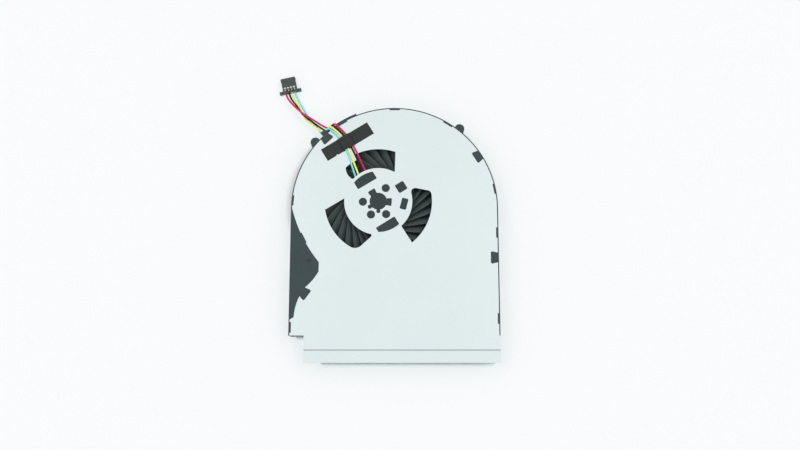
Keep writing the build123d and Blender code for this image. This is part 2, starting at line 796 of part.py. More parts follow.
def impeller():
    """Hub cup with leaning blades, a stiffening ring and a step under the inlets."""
    cup = slab(Circle(hub_radius), impeller_bottom, hub_top)
    cup = fillet(cup.faces().sort_by(Axis.Z)[0].edges(), hub_edge_radius)
    blades = [Rot(0, 0, 360 * index / blade_count) * blade() for index in range(blade_count)]
    ring_outer = impeller_radius - blade_ring_inset
    stiffener = slab(ring(ring_outer, ring_outer - blade_ring_width), impeller_bottom,
                     impeller_bottom + blade_ring_height)
    body = cup + blades + stiffener
    step = ring(inlet_outer_radius + blade_step_margin, hub_radius - hub_wall)
    body -= slab(step, blade_step, impeller_top + rotor_clearance)
    body -= slab(Circle(hub_bore), yoke_bottom, impeller_top)
    shaft_bottom = impeller_bottom + hub_face_thickness / 2
    return body - slab(Circle(shaft_radius + press_gap), shaft_bottom, yoke_bottom)


def rotor_yoke():
    """Drawn steel cup round the magnet, with a collar on the shaft."""
    body = slab(Circle(yoke_radius), yoke_bottom, magnet_top)
    body -= slab(Circle(yoke_bore), yoke_floor, magnet_top)
    body += slab(Circle(shaft_radius + shaft_collar_width), yoke_floor, yoke_floor + shaft_collar_height)
    return body - slab(Circle(shaft_radius + press_gap), yoke_bottom, magnet_top)


def ring_magnet():
    return slab(ring(magnet_radius, magnet_bore), yoke_floor, magnet_top)


def wire(name):
    """Lead along its route: straight runs joined by tangent arcs."""
    points = [Vector(*point) for point in routes[name]]
    radii = []
    for before, corner, after in zip(points, points[1:], points[2:]):
        turn = radians((corner - before).get_angle(after - corner))
        shorter = min((corner - before).length, (after - corner).length)
        radii.append(corner_share * shorter / tan(turn / 2))
    path = FilletPolyline(*points, radius=radii)
    section = Plane(path @ 0, z_dir=path % 0) * RegularPolygon(wire_radius, wire_sides)
    tube = sweep(section, path=path)
    share = tube.volume / (section.area * path.length)
    print(f"wire_{name}: length {path.length:.1f} mm, volume over section times length {share:.4f}, radii",
          " ".join(f"{radius:.1f}" for radius in radii))
    return tube


def plug_location():
    """Middle of the plug's wire end on the table, with X towards its open end."""
    return Pos(plug_place[0], plug_place[1]) * Rot(0, 0, plug_angle)


def plug_lanes():
    """Offsets of the plug's ways from its middle, in the order of the leads."""
    count = len(routes)
    return [(index - (count - 1) / 2) * -plug_pitch for index in range(count)]


def wire_level():
    return routes["red"][-1][2]


def plug_housing():
    body = slab(Pos(plug_length / 2, 0) * Rectangle(plug_length, plug_width), 0, plug_height)
    body = fillet(body.edges().filter_by(Axis.X), plug_edge_radius)
    wing = Pos(plug_wing_length / 2, 0) * Rectangle(plug_wing_length, plug_wing_width)
    body += slab(wing, 0, plug_wing_height)
    level = wire_level()
    entry_size = wire_diameter + 2 * plug_entry_clearance
    half = plug_slot_width / 2
    for lane in plug_lanes():
        entry = Pos(plug_entry_depth / 2, lane) * Rectangle(plug_entry_depth, entry_size)
        body -= slab(entry, level - entry_size / 2, level + entry_size / 2)
        slot = Pos(plug_length - plug_slot_depth / 2, lane) * Rectangle(plug_slot_depth, plug_slot_width)
        body -= slab(slot, level - half, level + half)
        window_middle = plug_window_setback + plug_window_length / 2
        window = Pos(window_middle, lane) * Rectangle(plug_window_length, plug_window_width)
        body -= slab(window, level - half, plug_height)
    return plug_location() * body


def plug_terminals():
    """Contact in each way, with a taller crimp that shows in the window."""
    bottom = wire_level() - plug_slot_width / 2
    contact_middle = crimp_setback + crimp_length + terminal_length / 2
    terminals = []
    for lane in plug_lanes():
        contact = Pos(contact_middle, lane) * Rectangle(terminal_length, terminal_width)
        crimp = Pos(crimp_setback + crimp_length / 2, lane) * Rectangle(crimp_length, crimp_width)
        terminal = slab(contact, bottom, bottom + terminal_width) + slab(crimp, bottom, bottom + crimp_height)
        terminals.append(plug_location() * terminal)
    return terminals


def tape_strip():
    """Tape stuck to the plate on both sides of the leads, and humped over them."""
    flat = 0
    hump = 2 * wire_rest + wire_diameter
    start = -tape_length / 2
    end = tape_length / 2
    line = [
        (start, flat), (tape_hump_from - tape_ramp, flat), (tape_hump_from, hump),
        (tape_hump_to, hump), (tape_hump_to + tape_ramp, flat), (end, flat),
    ]
    upper = [(along, height + tape_thickness) for along, height in reversed(line)]
    profile = make_face(Polyline(*line, *upper, close=True))
    upright = Plane((0, tape_width / 2, 0), x_dir=(1, 0, 0), z_dir=(0, -1, 0))
    strip = extrude(upright * profile, amount=tape_width, dir=(0, -1, 0))
    return Pos(*tape_centre, housing_height) * Rot(0, 0, tape_angle) * strip


def save(name, shape):
    """Write one node: a single solid, or a group of separate ones."""
    pieces = shape if isinstance(shape, list) else [shape]
    solids = [solid for piece in pieces for solid in piece.solids()]
    node = solids[0] if len(solids) == 1 else Compound(children=solids)
    node.label = name
    export_step(node, os.path.join("parts", name + ".step"))


os.makedirs("parts", exist_ok=True)
save("base_plate", base_plate())
save("frame", frame())
save("inlet_cover", cover())
save("cover_screws", cover_screws())
save("motor_mount", motor_mount())
save("bearing_tube", bearing_tube())
save("bearing_sleeve", bearing_sleeve())
save("thrust_pad", thrust_pad())
save("shaft_retainer", shaft_retainer())
save("shaft", shaft())
save("stator_core", stator_core())
save("lower_insulator", end_insulator(core_bottom - insulator_thickness))
save("upper_insulator", end_insulator(core_top))
save("stator_coils", stator_coils())
save("circuit_board", circuit_board())
save("driver_chip", driver_chip())
save("hall_sensor", hall_sensor())
save("chip_capacitors", chip_capacitors())
save("solder_joints", solder_joints())
save("impeller", impeller())
save("rotor_yoke", rotor_yoke())
save("ring_magnet", ring_magnet())
for wire_name in routes:
    save("wire_" + wire_name, wire(wire_name))
save("plug_housing", plug_housing())
save("plug_terminals", plug_terminals())
save("tape_strip", tape_strip())
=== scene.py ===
from math import copysign, cos, pi, radians, sin

import bmesh
import bpy
from mathutils import Matrix, Vector


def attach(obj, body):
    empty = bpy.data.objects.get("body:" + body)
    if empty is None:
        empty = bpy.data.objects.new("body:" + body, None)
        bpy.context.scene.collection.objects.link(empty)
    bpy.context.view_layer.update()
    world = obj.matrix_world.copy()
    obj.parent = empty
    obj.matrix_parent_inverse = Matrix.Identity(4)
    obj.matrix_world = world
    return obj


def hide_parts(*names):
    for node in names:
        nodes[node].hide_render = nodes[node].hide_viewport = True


# A laptop blower lying on its inlet cover, dressed round its CAD solids.
# Sizes are in millimetres, in the CAD frame, and mm() turns them into metres.

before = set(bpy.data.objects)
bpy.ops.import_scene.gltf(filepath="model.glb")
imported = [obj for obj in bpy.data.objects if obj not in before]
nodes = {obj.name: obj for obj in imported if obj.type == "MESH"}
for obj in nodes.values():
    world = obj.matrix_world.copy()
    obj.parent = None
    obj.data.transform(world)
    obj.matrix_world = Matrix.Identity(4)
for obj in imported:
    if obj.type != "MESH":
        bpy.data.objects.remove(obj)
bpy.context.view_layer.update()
to_metres = 0.001
to_millimetres = 1000
east = Vector((1, 0, 0))
north = Vector((0, 1, 0))
up = Vector((0, 0, 1))

# Camera of the photograph
camera_place = (8.417, -74.505, 356.003)
camera_tilt = 10.6           # degrees off straight down
camera_range = (10.0, 50000.0)  # nearest and furthest that it sees
focal_pixels = 919.3
image_width = 800
sensor_width = 36.0

# Leads from the circuit board to the plug, on the CAD tubes' routes but for three points of the red one,
# which is a little nearer to the black one where they cross
lead_diameter = 0.75
red_route = [
    (-4.70, 11.30, 7.12), (-5.25, 12.55, 7.12), (-6.50, 15.10, 7.60), (-8.05, 18.55, 8.42),
    (-9.70, 22.00, 8.45), (-12.80, 26.80, 8.45), (-14.60, 28.70, 8.45), (-16.10, 30.20, 8.45),
    (-17.30, 31.06, 8.42), (-18.21, 30.90, 7.05), (-18.99, 30.56, 5.70), (-20.04, 30.25, 4.80),
    (-21.33, 30.65, 4.75), (-23.21, 31.79, 4.80), (-26.22, 33.77, 4.80), (-30.30, 36.45, 4.40),
    (-33.70, 39.65, 3.30), (-36.20, 42.70, 1.85), (-37.22, 44.57, 1.10), (-37.65, 46.52, 1.10),
]
black_route = [
    (-6.05, 10.75, 7.12), (-6.50, 11.90, 7.12), (-7.10, 13.55, 7.60), (-7.85, 15.50, 8.42),
    (-9.05, 18.40, 8.45), (-10.55, 21.45, 8.45), (-13.60, 26.35, 8.45), (-15.35, 28.15, 8.45),
    (-16.85, 29.60, 8.45), (-18.06, 30.46, 8.42), (-18.79, 30.00, 7.05), (-19.45, 29.51, 5.55),
    (-20.24, 29.11, 4.20), (-21.70, 29.72, 3.85), (-23.54, 30.92, 4.00), (-27.10, 33.60, 3.90),
    (-30.30, 36.10, 3.30), (-33.10, 40.40, 2.40), (-34.90, 42.70, 1.60), (-36.00, 44.84, 1.10),
    (-36.43, 46.79, 1.10),
]
yellow_route = [
    (-7.35, 9.80, 7.12), (-7.85, 10.95, 7.12), (-8.45, 12.45, 7.60), (-9.20, 14.30, 8.42),
    (-10.35, 17.40, 8.45), (-11.75, 20.84, 8.45), (-14.40, 25.85, 8.45), (-16.10, 27.70, 8.45),
    (-17.75, 29.05, 8.45), (-18.97, 29.89, 8.42), (-19.92, 29.64, 7.10), (-20.60, 29.20, 5.75),
    (-21.30, 28.79, 4.45), (-22.38, 28.90, 3.70), (-24.20, 30.27, 3.55), (-27.56, 33.00, 3.20),
    (-29.80, 35.30, 2.30), (-32.30, 40.70, 1.60), (-33.80, 43.00, 1.25), (-34.78, 45.12, 1.10),
    (-35.21, 47.07, 1.10),
]
blue_route = [
    (-8.60, 8.85, 7.12), (-9.00, 10.05, 7.12), (-9.55, 11.60, 7.60), (-10.15, 13.45, 8.42),
    (-10.95, 16.20, 8.45), (-12.40, 20.20, 8.45), (-15.30, 25.25, 8.45), (-16.95, 26.95, 8.45),
    (-18.45, 28.30, 8.45), (-19.72, 29.16, 8.42), (-20.35, 28.69, 7.10), (-20.89, 28.18, 5.70),
    (-21.49, 27.82, 4.40), (-22.16, 27.80, 3.30), (-22.80, 28.50, 2.80), (-23.47, 29.73, 2.70),
    (-25.31, 31.82, 2.65), (-27.71, 34.98, 2.75), (-29.20, 37.00, 2.70), (-31.40, 41.00, 1.70),
    (-32.70, 43.20, 1.30), (-33.56, 45.39, 1.10), (-33.99, 47.34, 1.10),
]
routes = {"red": red_route, "black": black_route, "yellow": yellow_route, "blue": blue_route}
lead_steps = 10              # of the curve, for each point of a route
lead_roundness = 4           # resolution of the curve's bevel

# Tape over the leads
plate_top = 8.0
tape_centre = (-12.16, 23.89)
tape_angle = 31.8
tape_length = 21.1
tape_width = 5.3
tape_thickness = 0.12
tape_columns = 138           # grid cells along the tape
tape_rows = 32
tape_margin = 2.0            # leads are looked for this far beyond the tape
tape_lift = 0.01             # glue under the film
tape_crest = 0.95            # radius of the film's bend over a lead
tape_waver = 0.05            # of the torn ends
waver_rate = 5.1             # radians of the waver to a millimetre across
waver_shift = 2.0            # radians between the middle and an end
waver_power = 8              # how fast the waver dies away from an end
tape_nick = (-6.2, -2.65, 0.45)  # along, across and radius
tape_thread = 0.22           # pitch of the weave

# Plug, in its own frame: X from the leads' end to the open end
plug_place = (-35.65, 46.15)
plug_angle = 102.6
plug_pitch = 1.25
plug_top = 2.2
plug_level = 1.1
crimp_sections = [           # along, half width, half height and lift of the two crimped barrels
    (0.86, 0.38, 0.36, 0.0), (0.92, 0.45, 0.56, 0.20), (1.22, 0.45, 0.56, 0.20), (1.30, 0.34, 0.36, 0.10),
    (1.38, 0.34, 0.36, 0.10), (1.46, 0.43, 0.52, 0.18), (1.68, 0.43, 0.52, 0.18), (1.74, 0.34, 0.36, 0.10),
]
box_sections = [             # the same for the square contact box and its pin
    (1.76, 0.42, 0.44, 0.30), (1.82, 0.49, 0.54, 0.40), (2.38, 0.49, 0.54, 0.40), (2.41, 0.26, 0.26, 0.0),
    (6.00, 0.26, 0.26, 0.0),
]
key_sections = [             # the same for the upright key on each side of the open end
    (5.05, 0.10, 0.70, 0.0), (5.20, 0.24, 0.92, 0.0), (5.85, 0.24, 0.92, 0.0), (5.98, 0.14, 0.80, 0.0),
]
section_sides = 20
crimp_groove = 0.10          # share of the barrel's height lost at its seam
crimp_squareness = 0.6       # power of the sine and cosine of a section: 1 is an ellipse, 0 a box
box_squareness = 0.1
key_squareness = 0.5
key_count = 2
key_spread = 5.6             # between the two keys
rib_start = 2.75
rib_length = 3.0
rib_radius = 0.11
rib_ends = [(0.0, 0.4), (0.08, 0.8), (0.25, 1.0)]  # from either end, and share of the radius
rib_sides = 10
rib_pitch = 1.25
rib_count = 4

# Stator windings
coil_count = 6
coil_turns = 16
coil_start = 4.57            # first turn, from the motor axis
coil_pitch = 0.22
coil_level = 3.9
coil_wire = 0.2
coil_wire_sides = 6
coil_layers = ((3.10, 2.98), (2.68, 2.60))  # width and height of a turn, at its middle
coil_corner = 0.4
coil_corner_steps = 3

# Solder on the circuit board
board_top = 6.7
solder_rings = [(0.34, 0.0), (0.33, 0.12), (0.27, 0.38), (0.19, 0.58), (0.09, 0.67)]  # radius and height
solder_sides = 14
solder_setback = 0.35
strand_radius = 0.17
strand_length = 0.30
strand_sides = 8

sharp_angle = 40.0           # degrees between faces that meet in a sharp edge

# Stage and light
floor_size = 60000.0
floor_drop = 0.05
floor_glow = (0.585, 0.664, 0.672)
glow_edges = (31.0, 37.0)    # from the motor axis, hidden under the housing
sky_strength = 1.05
sky_stops = ((0.0, 0.56), (0.45, 0.62), (0.75, 1.0), (1.0, 1.0))  # height on the dome, and share
lamp_height = 58.0           # degrees above the horizon
lamp_sides = (-110.0, 110.0)  # degrees from the front
lamp_edges = (12.0, 7.0)     # degrees from a lamp's middle, outer and inner
lamp_strength = 4.5

# Base colour of each material, and of the sky
colours = {
    "plate_metal": (0.700, 0.769, 0.776),
    # painted light: the cover's base colour is lighter than the plate's, to offset the shade its lip sits
    # in under the plate's lip
    "cover_metal": (0.815, 0.868, 0.873),
    "frame_plastic": (0.022, 0.040, 0.045),
    "mount_plastic": (0.012, 0.028, 0.030),
    "impeller_plastic": (0.074, 0.098, 0.096),
    "plug_plastic": (0.045, 0.057, 0.053),
    "bearing_plastic": (0.70, 0.67, 0.58),
    "insulator_plastic": (0.76, 0.75, 0.70),
    "chip_epoxy": (0.020, 0.020, 0.022),
    "screw_steel": (0.16, 0.16, 0.17),
    "tube_brass": (0.72, 0.52, 0.22),
    "sleeve_bronze": (0.52, 0.36, 0.18),
    "shaft_steel": (0.62, 0.62, 0.63),
    "yoke_steel": (0.48, 0.48, 0.49),
    "core_steel": (0.34, 0.34, 0.35),
    "magnet": (0.055, 0.055, 0.058),
    "capacitor_ceramic": (0.40, 0.28, 0.17),
    "board_laminate": (0.025, 0.13, 0.065),
    "terminal_tin": (0.48, 0.50, 0.48),
    "winding_copper": (0.62, 0.26, 0.11),
    "solder": (0.72, 0.72, 0.73),
    "tape": (0.008, 0.014, 0.011),
    "red_insulation": (0.60, 0.018, 0.115),
    "black_insulation": (0.009, 0.010, 0.010),
    "yellow_insulation": (0.93, 0.90, 0.150),
    "blue_insulation": (0.20, 0.69, 0.80),
    "floor_paper": (0.33, 0.27, 0.27),
    "sky": (0.985, 0.995, 1.0),
}


def mm(*values):
    """Vector in metres from millimetres."""
    return Vector(values) * to_metres


class Value:
    """A shader socket that can be used in sums."""

    def __init__(self, finish, socket):
        self.finish = finish
        self.socket = socket

    def __add__(self, other):
        return self.finish.math("ADD", self, other)

    def __sub__(self, other):
        return self.finish.math("SUBTRACT", self, other)

    def __rsub__(self, other):
        return self.finish.math("SUBTRACT", other, self)

    def __mul__(self, other):
        return self.finish.math("MULTIPLY", self, other)

    def __truediv__(self, other):
        return self.finish.math("DIVIDE", self, other)

    __radd__ = __add__
    __rmul__ = __mul__


class Finish:
    """A material or the sky, made of nodes from node() and of sums of their values."""

    def __init__(self, name, kind="materials", shader="Principled BSDF"):
        self.colour = colours[name]
        self.material = getattr(bpy.data, kind).new(name)
        self.material.use_nodes = True
        self.tree = self.material.node_tree
        self.shader = self.tree.nodes[shader]

    def join(self, socket, value):
        """Link a value to a socket, or set the socket to a constant."""
        if isinstance(value, Value):
            self.tree.links.new(value.socket, socket)
        elif socket.type == "RGBA" and len(value) == 3:
            socket.default_value = (*value, 1)
        else:
            socket.default_value = value

    def set(self, **sockets):
        """Fill inputs of the shader, named with underscores for spaces."""
        for name, value in sockets.items():
            self.join(self.shader.inputs[name.replace("_", " ")], value)

    def node(self, kind, settings=None, inputs=None, output=0):
        """Value of one output of a new node."""
        made = self.tree.nodes.new(kind)
        for name, setting in (settings or {}).items():
            setattr(made, name, setting)
        for name, value in (inputs or {}).items():
            self.join(made.inputs[name], value)
        return Value(self, made.outputs[output])

    def math(self, operation, *values):
        """Result of one operation on one or two values."""
        return self.node("ShaderNodeMath", {"operation": operation}, dict(enumerate(values)))

    def axis(self, vector, index):
        """One of a vector's three values."""
        return self.node("ShaderNodeSeparateXYZ", {}, {0: vector}, index)

    def place(self, stretch=(1, 1, 1), turn=(0, 0, 0)):
        """Object coordinates in millimetres, each multiplied by its stretch."""
        coordinates = self.node("ShaderNodeTexCoord", output="Object")
        scale = [to_millimetres * factor for factor in stretch]
        angles = [radians(angle) for angle in turn]
        turned = self.node("ShaderNodeMapping", {}, {"Vector": coordinates, "Rotation": angles})
        return self.node("ShaderNodeMapping", {}, {"Vector": turned, "Scale": scale})

    def noise(self, size, stretch=(1, 1, 1), turn=(0, 0, 0), detail=2.0):
        """Cloud of about that size in millimetres, from 0 to 1."""
        inputs = {"Vector": self.place(stretch, turn), "Scale": 1 / size, "Detail": detail}
        return self.node("ShaderNodeTexNoise", {}, inputs)

    def cells(self, size):
        """Pits of about that size in millimetres, 0 at their middles."""
        return self.node("ShaderNodeTexVoronoi", {}, {"Vector": self.place(), "Scale": 1 / size})

    def normal_z(self):
        """How far a face points up or down, 0 on an upright one."""
        normal = self.node("ShaderNodeNewGeometry", output="Normal")
        return self.math("ABSOLUTE", self.axis(normal, 2))

    def ramp(self, value, *stops):
        """Ramp of grey through stops, each a position and a shade."""
        ramped = self.node("ShaderNodeValToRGB", {}, {"Fac": value})
        elements = ramped.socket.node.color_ramp.elements
        while len(elements) < len(stops):
            elements.new(1)
        for element, (position, shade) in zip(list(elements), stops):
            element.position = position
            element.color = (shade, shade, shade, 1)
        return ramped

    def mix(self, share, first, second):
        """Colour between two others."""
        settings = {"data_type": "RGBA"}
        return self.node("ShaderNodeMix", settings, {0: share, 6: first, 7: second}, 2)

    def tone(self, factor):
        """The base colour, made darker or lighter."""
        return tuple(min(1, channel * factor) for channel in self.colour)

    def shades(self, share, dark, light):
        """Colour between two tones of the base colour."""
        return self.mix(share, self.tone(dark), self.tone(light))

    def bump(self, height, depth):
        """Relief of that depth in millimetres."""
        inputs = {"Height": height, "Distance": depth * to_metres}
        self.set(Normal=self.node("ShaderNodeBump", {}, inputs))


class Grower:
    """A Geometry Nodes tree with named inputs, grown into a plain mesh."""

    kinds = {int: "NodeSocketInt", float: "NodeSocketFloat", Vector: "NodeSocketVector",
             bpy.types.Material: "NodeSocketMaterial", bpy.types.Object: "NodeSocketObject"}

    def __init__(self, name, inputs):
        self.name = name
        self.tree = bpy.data.node_groups.new(name, "GeometryNodeTree")
        self.tree.interface.new_socket("Geometry", in_out="OUTPUT", socket_type="NodeSocketGeometry")
        self.values = {}
        for label, value in inputs.items():
            kind = self.kinds[type(value)]
            socket = self.tree.interface.new_socket(label, in_out="INPUT", socket_type=kind)
            self.values[socket.identifier] = value
        self.given = self.tree.nodes.new("NodeGroupInput").outputs

    def node(self, kind, settings=None, inputs=None, output=0):
        """One output of a new node."""
        made = self.tree.nodes.new(kind)
        for name, setting in (settings or {}).items():
            setattr(made, name, setting)
        for name, value in (inputs or {}).items():
            if isinstance(value, bpy.types.NodeSocket):
                self.tree.links.new(value, made.inputs[name])
            else:
                made.inputs[name].default_value = value
        return made.outputs[output]

    def grow(self, instances):
        """Real mesh of the instances, in the tree's own material."""
        real = self.node("GeometryNodeRealizeInstances", {}, {"Geometry": instances})
        inputs = {"Geometry": real, "Material": self.given["Material"]}
        painted = self.node("GeometryNodeSetMaterial", {}, inputs)
        self.tree.links.new(painted, self.tree.nodes.new("NodeGroupOutput").inputs["Geometry"])
        seed = link("seed", bpy.data.meshes.new("seed"))
        modifier = seed.modifiers.new("grow", "NODES")
        modifier.node_group = self.tree
        for identifier, value in self.values.items():
            modifier[identifier] = value
        grown = seed.evaluated_get(bpy.context.evaluated_depsgraph_get())
        mesh = bpy.data.meshes.new_from_object(grown)
        bpy.data.objects.remove(seed)
        return link(self.name, mesh)


def sheet_metal(name, roughness):
    """Satin rolled sheet: fine lines along X, slow clouds, a few rubs, and duller cut edges."""
    finish = Finish(name)
    grain = finish.noise(0.09, stretch=(0.02, 1, 1), detail=3)
    cloud = finish.noise(16.0, detail=3)
    rub = finish.ramp(finish.noise(0.35, stretch=(0.03, 1, 1), turn=(0, 0, 38)), (0.66, 0), (0.74, 1))
    flat = finish.ramp(finish.normal_z(), (0.4, 0), (0.8, 1))
    skin = finish.shades(grain * 0.30 + cloud * 0.55 + rub * 0.15, 0.98, 1.02)
    finish.set(Base_Color=finish.mix(flat, finish.tone(0.80), skin))
    finish.set(Roughness=roughness + 0.16 - flat * 0.16 + grain * 0.08 + cloud * 0.05 - rub * 0.05)
    finish.set(Metallic=1.0)
    finish.bump(grain + rub * 0.5, 0.0006)
    return finish.material


def moulded_plastic(name, speck, roughness):
    """Spark-eroded moulding: fine pits, slow mottling and pale fibre specks."""
    finish = Finish(name)
    pits = finish.cells(0.16)
    fine = finish.noise(0.11, detail=3)
    cloud = finish.noise(5.0, detail=3)
    specks = finish.ramp(finish.noise(0.55, detail=1), (0.66, 0), (0.74, 1))
    body = finish.shades(cloud * 0.6 + fine * 0.4, 0.84, 1.16)
    finish.set(Base_Color=finish.mix(specks * speck, body, finish.tone(2.4)))
    finish.set(Roughness=roughness + fine * 0.14 - pits * 0.08)
    finish.set(Specular_IOR_Level=0.4)
    finish.bump(pits * 0.6 + fine * 0.4, 0.012)
    return finish.material


def blade_plastic(name):
    """Thin moulded blades: a soft sheen, faint upright flow lines, and top edges that face up painted
    darker as painted shade, and made rougher.
    """
    finish = Finish(name)
    flow = finish.noise(0.5, stretch=(1, 1, 0.15), detail=3)
    fine = finish.noise(0.12)
    cloud = finish.noise(4.0)
    # painted shade: where a face points up, on the blades' top edges, the base colour is darkened to tone
    # down the light they catch
    edge = finish.ramp(finish.normal_z(), (0.85, 0), (0.97, 1))
    skin = finish.shades(flow * 0.5 + cloud * 0.5, 0.8, 1.25)
    finish.set(Base_Color=finish.mix(edge, skin, finish.tone(0.6)))
    finish.set(Roughness=0.36 + flow * 0.14 + fine * 0.06 + edge * 0.2)
    finish.set(Specular_IOR_Level=0.35)
    finish.bump(flow * 0.6 + fine * 0.4, 0.008)
    return finish.material


def turned_metal(name, roughness):
    """Machined round the motor axis, with fine tool rings."""
    finish = Finish(name)
    rings = finish.noise(0.05, stretch=(0.1, 0.1, 1))
    cloud = finish.noise(1.2)
    finish.set(Base_Color=finish.shades(rings * 0.5 + cloud * 0.5, 0.86, 1.1))
    finish.set(Roughness=roughness + rings * 0.12)
    finish.set(Metallic=1.0)
    finish.bump(rings, 0.002)
    return finish.material


def grained_solid(name, roughness, metallic, size):
    """Solid with a grain of that size, such as ceramic, bonded powder or stamped steel."""
    finish = Finish(name)
    fine = finish.noise(size, detail=4)
    cloud = finish.noise(size * 12)
    finish.set(Base_Color=finish.shades(fine * 0.6 + cloud * 0.4, 0.75, 1.25))
    finish.set(Roughness=roughness + fine * 0.15)
    finish.set(Metallic=metallic)
    finish.bump(fine, 0.006)
    return finish.material


def insulation(name):
    """Extruded lead insulation: an even colour with a soft gloss and slight waves."""
    finish = Finish(name)
    wave = finish.noise(1.4)
    fine = finish.noise(0.08)
    relief = wave * 0.7 + fine * 0.3
    finish.set(Base_Color=finish.shades(relief, 0.86, 1.12))
    finish.set(Roughness=0.38 + fine * 0.12)
    finish.set(Specular_IOR_Level=0.25)
    finish.bump(relief, 0.01)
    return finish.material


def cloth_tape(name):
    """Matt film on a fine woven backing, whose threads follow the strip."""
    finish = Finish(name)
    woven = finish.node("ShaderNodeUVMap", {"uv_map": "weave"})
    turns = 2 * pi / tape_thread
    warp = finish.math("SINE", finish.axis(woven, 0) * turns)
    weft = finish.math("SINE", finish.axis(woven, 1) * turns)
    weave = warp * weft * 0.5 + 0.5
    cloud = finish.noise(2.5, detail=3)
    finish.set(Base_Color=finish.shades(weave * 0.35 + cloud * 0.65, 0.82, 1.2))
    finish.set(Roughness=0.56 + weave * 0.12 + cloud * 0.1)
    finish.bump(weave * 0.8 + cloud * 0.2, 0.012)
    return finish.material


def board_laminate(name):
    """Solder mask over etched tracks."""
    finish = Finish(name)
    ring = finish.node("ShaderNodeTexWave", {"wave_type": "RINGS", "rings_direction": "Z"},
                       {"Vector": finish.place(), "Scale": 0.22, "Distortion": 1.5, "Detail": 0.0})
    track = finish.ramp(ring, (0.55, 0), (0.60, 1))
    fine = finish.noise(0.2, detail=3)
    finish.set(Base_Color=finish.shades(track * 0.7 + fine * 0.3, 0.7, 1.5))
    finish.set(Roughness=0.32 + fine * 0.1)
    finish.bump(track + fine * 0.1, 0.02)
    return finish.material


def link(name, data):
    """Object of some data, put in the scene."""
    made = bpy.data.objects.new(name, data)
    bpy.context.scene.collection.objects.link(made)
    return made


def paint(material, *names):
    """Give CAD nodes a material."""
    for name in names:
        data = nodes[name].data
        data.materials.clear()
        data.materials.append(material)


def dress(obj, material, slot, *stands_for):
    """Give a piece of the housing its material, and hide the CAD nodes that it stands for. The slot is not
    used.
    """
    obj.data.materials.clear()
    obj.data.materials.append(material)
    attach(obj, "housing")
    if stands_for:
        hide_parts(*stands_for)


def lead_curve(name, route, radius):
    """Curve through a lead's route, round unless the radius is 0."""
    curve = bpy.data.curves.new(name, "CURVE")
    curve.dimensions = "3D"
    spline = curve.splines.new("NURBS")
    spline.points.add(len(route) - 1)
    for point, place in zip(spline.points, route):
        point.co = (*mm(*place), 1)
    spline.order_u = 3
    spline.use_endpoint_u = True
    spline.resolution_u = lead_steps
    curve.bevel_depth = radius * to_metres
    curve.bevel_resolution = lead_roundness
    curve.use_fill_caps = radius > 0
    return curve


def lead_line(route):
    """Points along a lead's centre, in millimetres."""
    bare = link("line", lead_curve("line", route, 0))
    mesh = bpy.data.meshes.new_from_object(bare)
    line = [vertex.co * to_millimetres for vertex in mesh.vertices]
    bpy.data.objects.remove(bare)
    bpy.data.meshes.remove(mesh)
    return line


def leads():
    """Insulated leads, each a free cord that ends in the plug."""
    for colour, route in routes.items():
        lead = link("lead_" + colour, lead_curve("lead_" + colour, route, lead_diameter / 2))
        slot = colour + "_insulation"
        dress(lead, insulation(slot), slot, "wire_" + colour)


def loft(mesh, rings):
    """Closed skin over rings of as many points each, in millimetres."""
    loops = [[mesh.verts.new(mm(*point)) for point in ring] for ring in rings]
    for first, second in zip(loops, loops[1:]):
        for index in range(len(first)):
            after = (index + 1) % len(first)
            mesh.faces.new((first[index], first[after], second[after], second[index]))
    mesh.faces.new(loops[0])
    mesh.faces.new(loops[-1])


def smooth(mesh):
    """Shade all faces of a mesh smoothly."""
    for polygon in mesh.polygons:
        polygon.use_smooth = True


def finished(name, mesh):
    """Object of a bmesh, with its faces pointing outwards and only its corners sharp."""
    bmesh.ops.recalc_face_normals(mesh, faces=mesh.faces)
    data = bpy.data.meshes.new(name)
    mesh.to_mesh(data)
    mesh.free()
    smooth(data)
    data.set_sharp_from_angle(angle=radians(sharp_angle))
    return link(name, data)


def round_ring(centre, first, second, radius, sides):
    """Points of a circle between two directions."""
    turns = [2 * pi * index / sides for index in range(sides)]
    return [centre + first * radius * cos(turn) + second * radius * sin(turn) for turn in turns]


def plug_ring(along, half_width, half_height, lift, squareness, groove=0):
    """Section of a piece of the plug, from an ellipse to a box, with a groove along its top."""
    ring = []
    for index in range(section_sides):
        turn = 2 * pi * index / section_sides + pi / 2
        across = half_width * copysign(abs(cos(turn)) ** squareness, cos(turn))
        height = half_height * copysign(abs(sin(turn)) ** squareness, sin(turn))
        depth = groove if index == 0 else 0
        ring.append((along, across, lift + height * (1 - depth)))
    return ring


def plug_point(across, height):
    """Place in millimetres at the leads' end of the plug."""
    turn = Matrix.Rotation(radians(plug_angle), 3, "Z")
    return Vector((*plug_place, 0)) + turn @ Vector((0, across, height))


def plug_row(name, rings, count, pitch, height, material):
    """Copies of one lofted part, side by side in the plug."""
    mesh = bmesh.new()
    loft(mesh, rings)
    part = finished("part", mesh)
    side = pitch * (count - 1) / 2
    start = plug_point(side, height)
    step = plug_point(side - pitch, height) - start
    turn = Vector((0, 0, radians(plug_angle)))
    grower = Grower(name, {
        "Part": part, "Count": count, "Start": mm(*start), "Step": mm(*step), "Turn": turn,
        "Material": material,
    })
    given = grower.given
    line = grower.node("GeometryNodeMeshLine", {"mode": "OFFSET"},
                       {"Count": given["Count"], "Start Location": given["Start"], "Offset": given["Step"]})
    shape = grower.node("GeometryNodeObjectInfo", {}, {"Object": given["Part"]}, "Geometry")
    inputs = {"Points": line, "Instance": shape, "Rotation": given["Turn"]}
    grown = grower.grow(grower.node("GeometryNodeInstanceOnPoints", {}, inputs))
    bpy.data.objects.remove(part)
    return grown


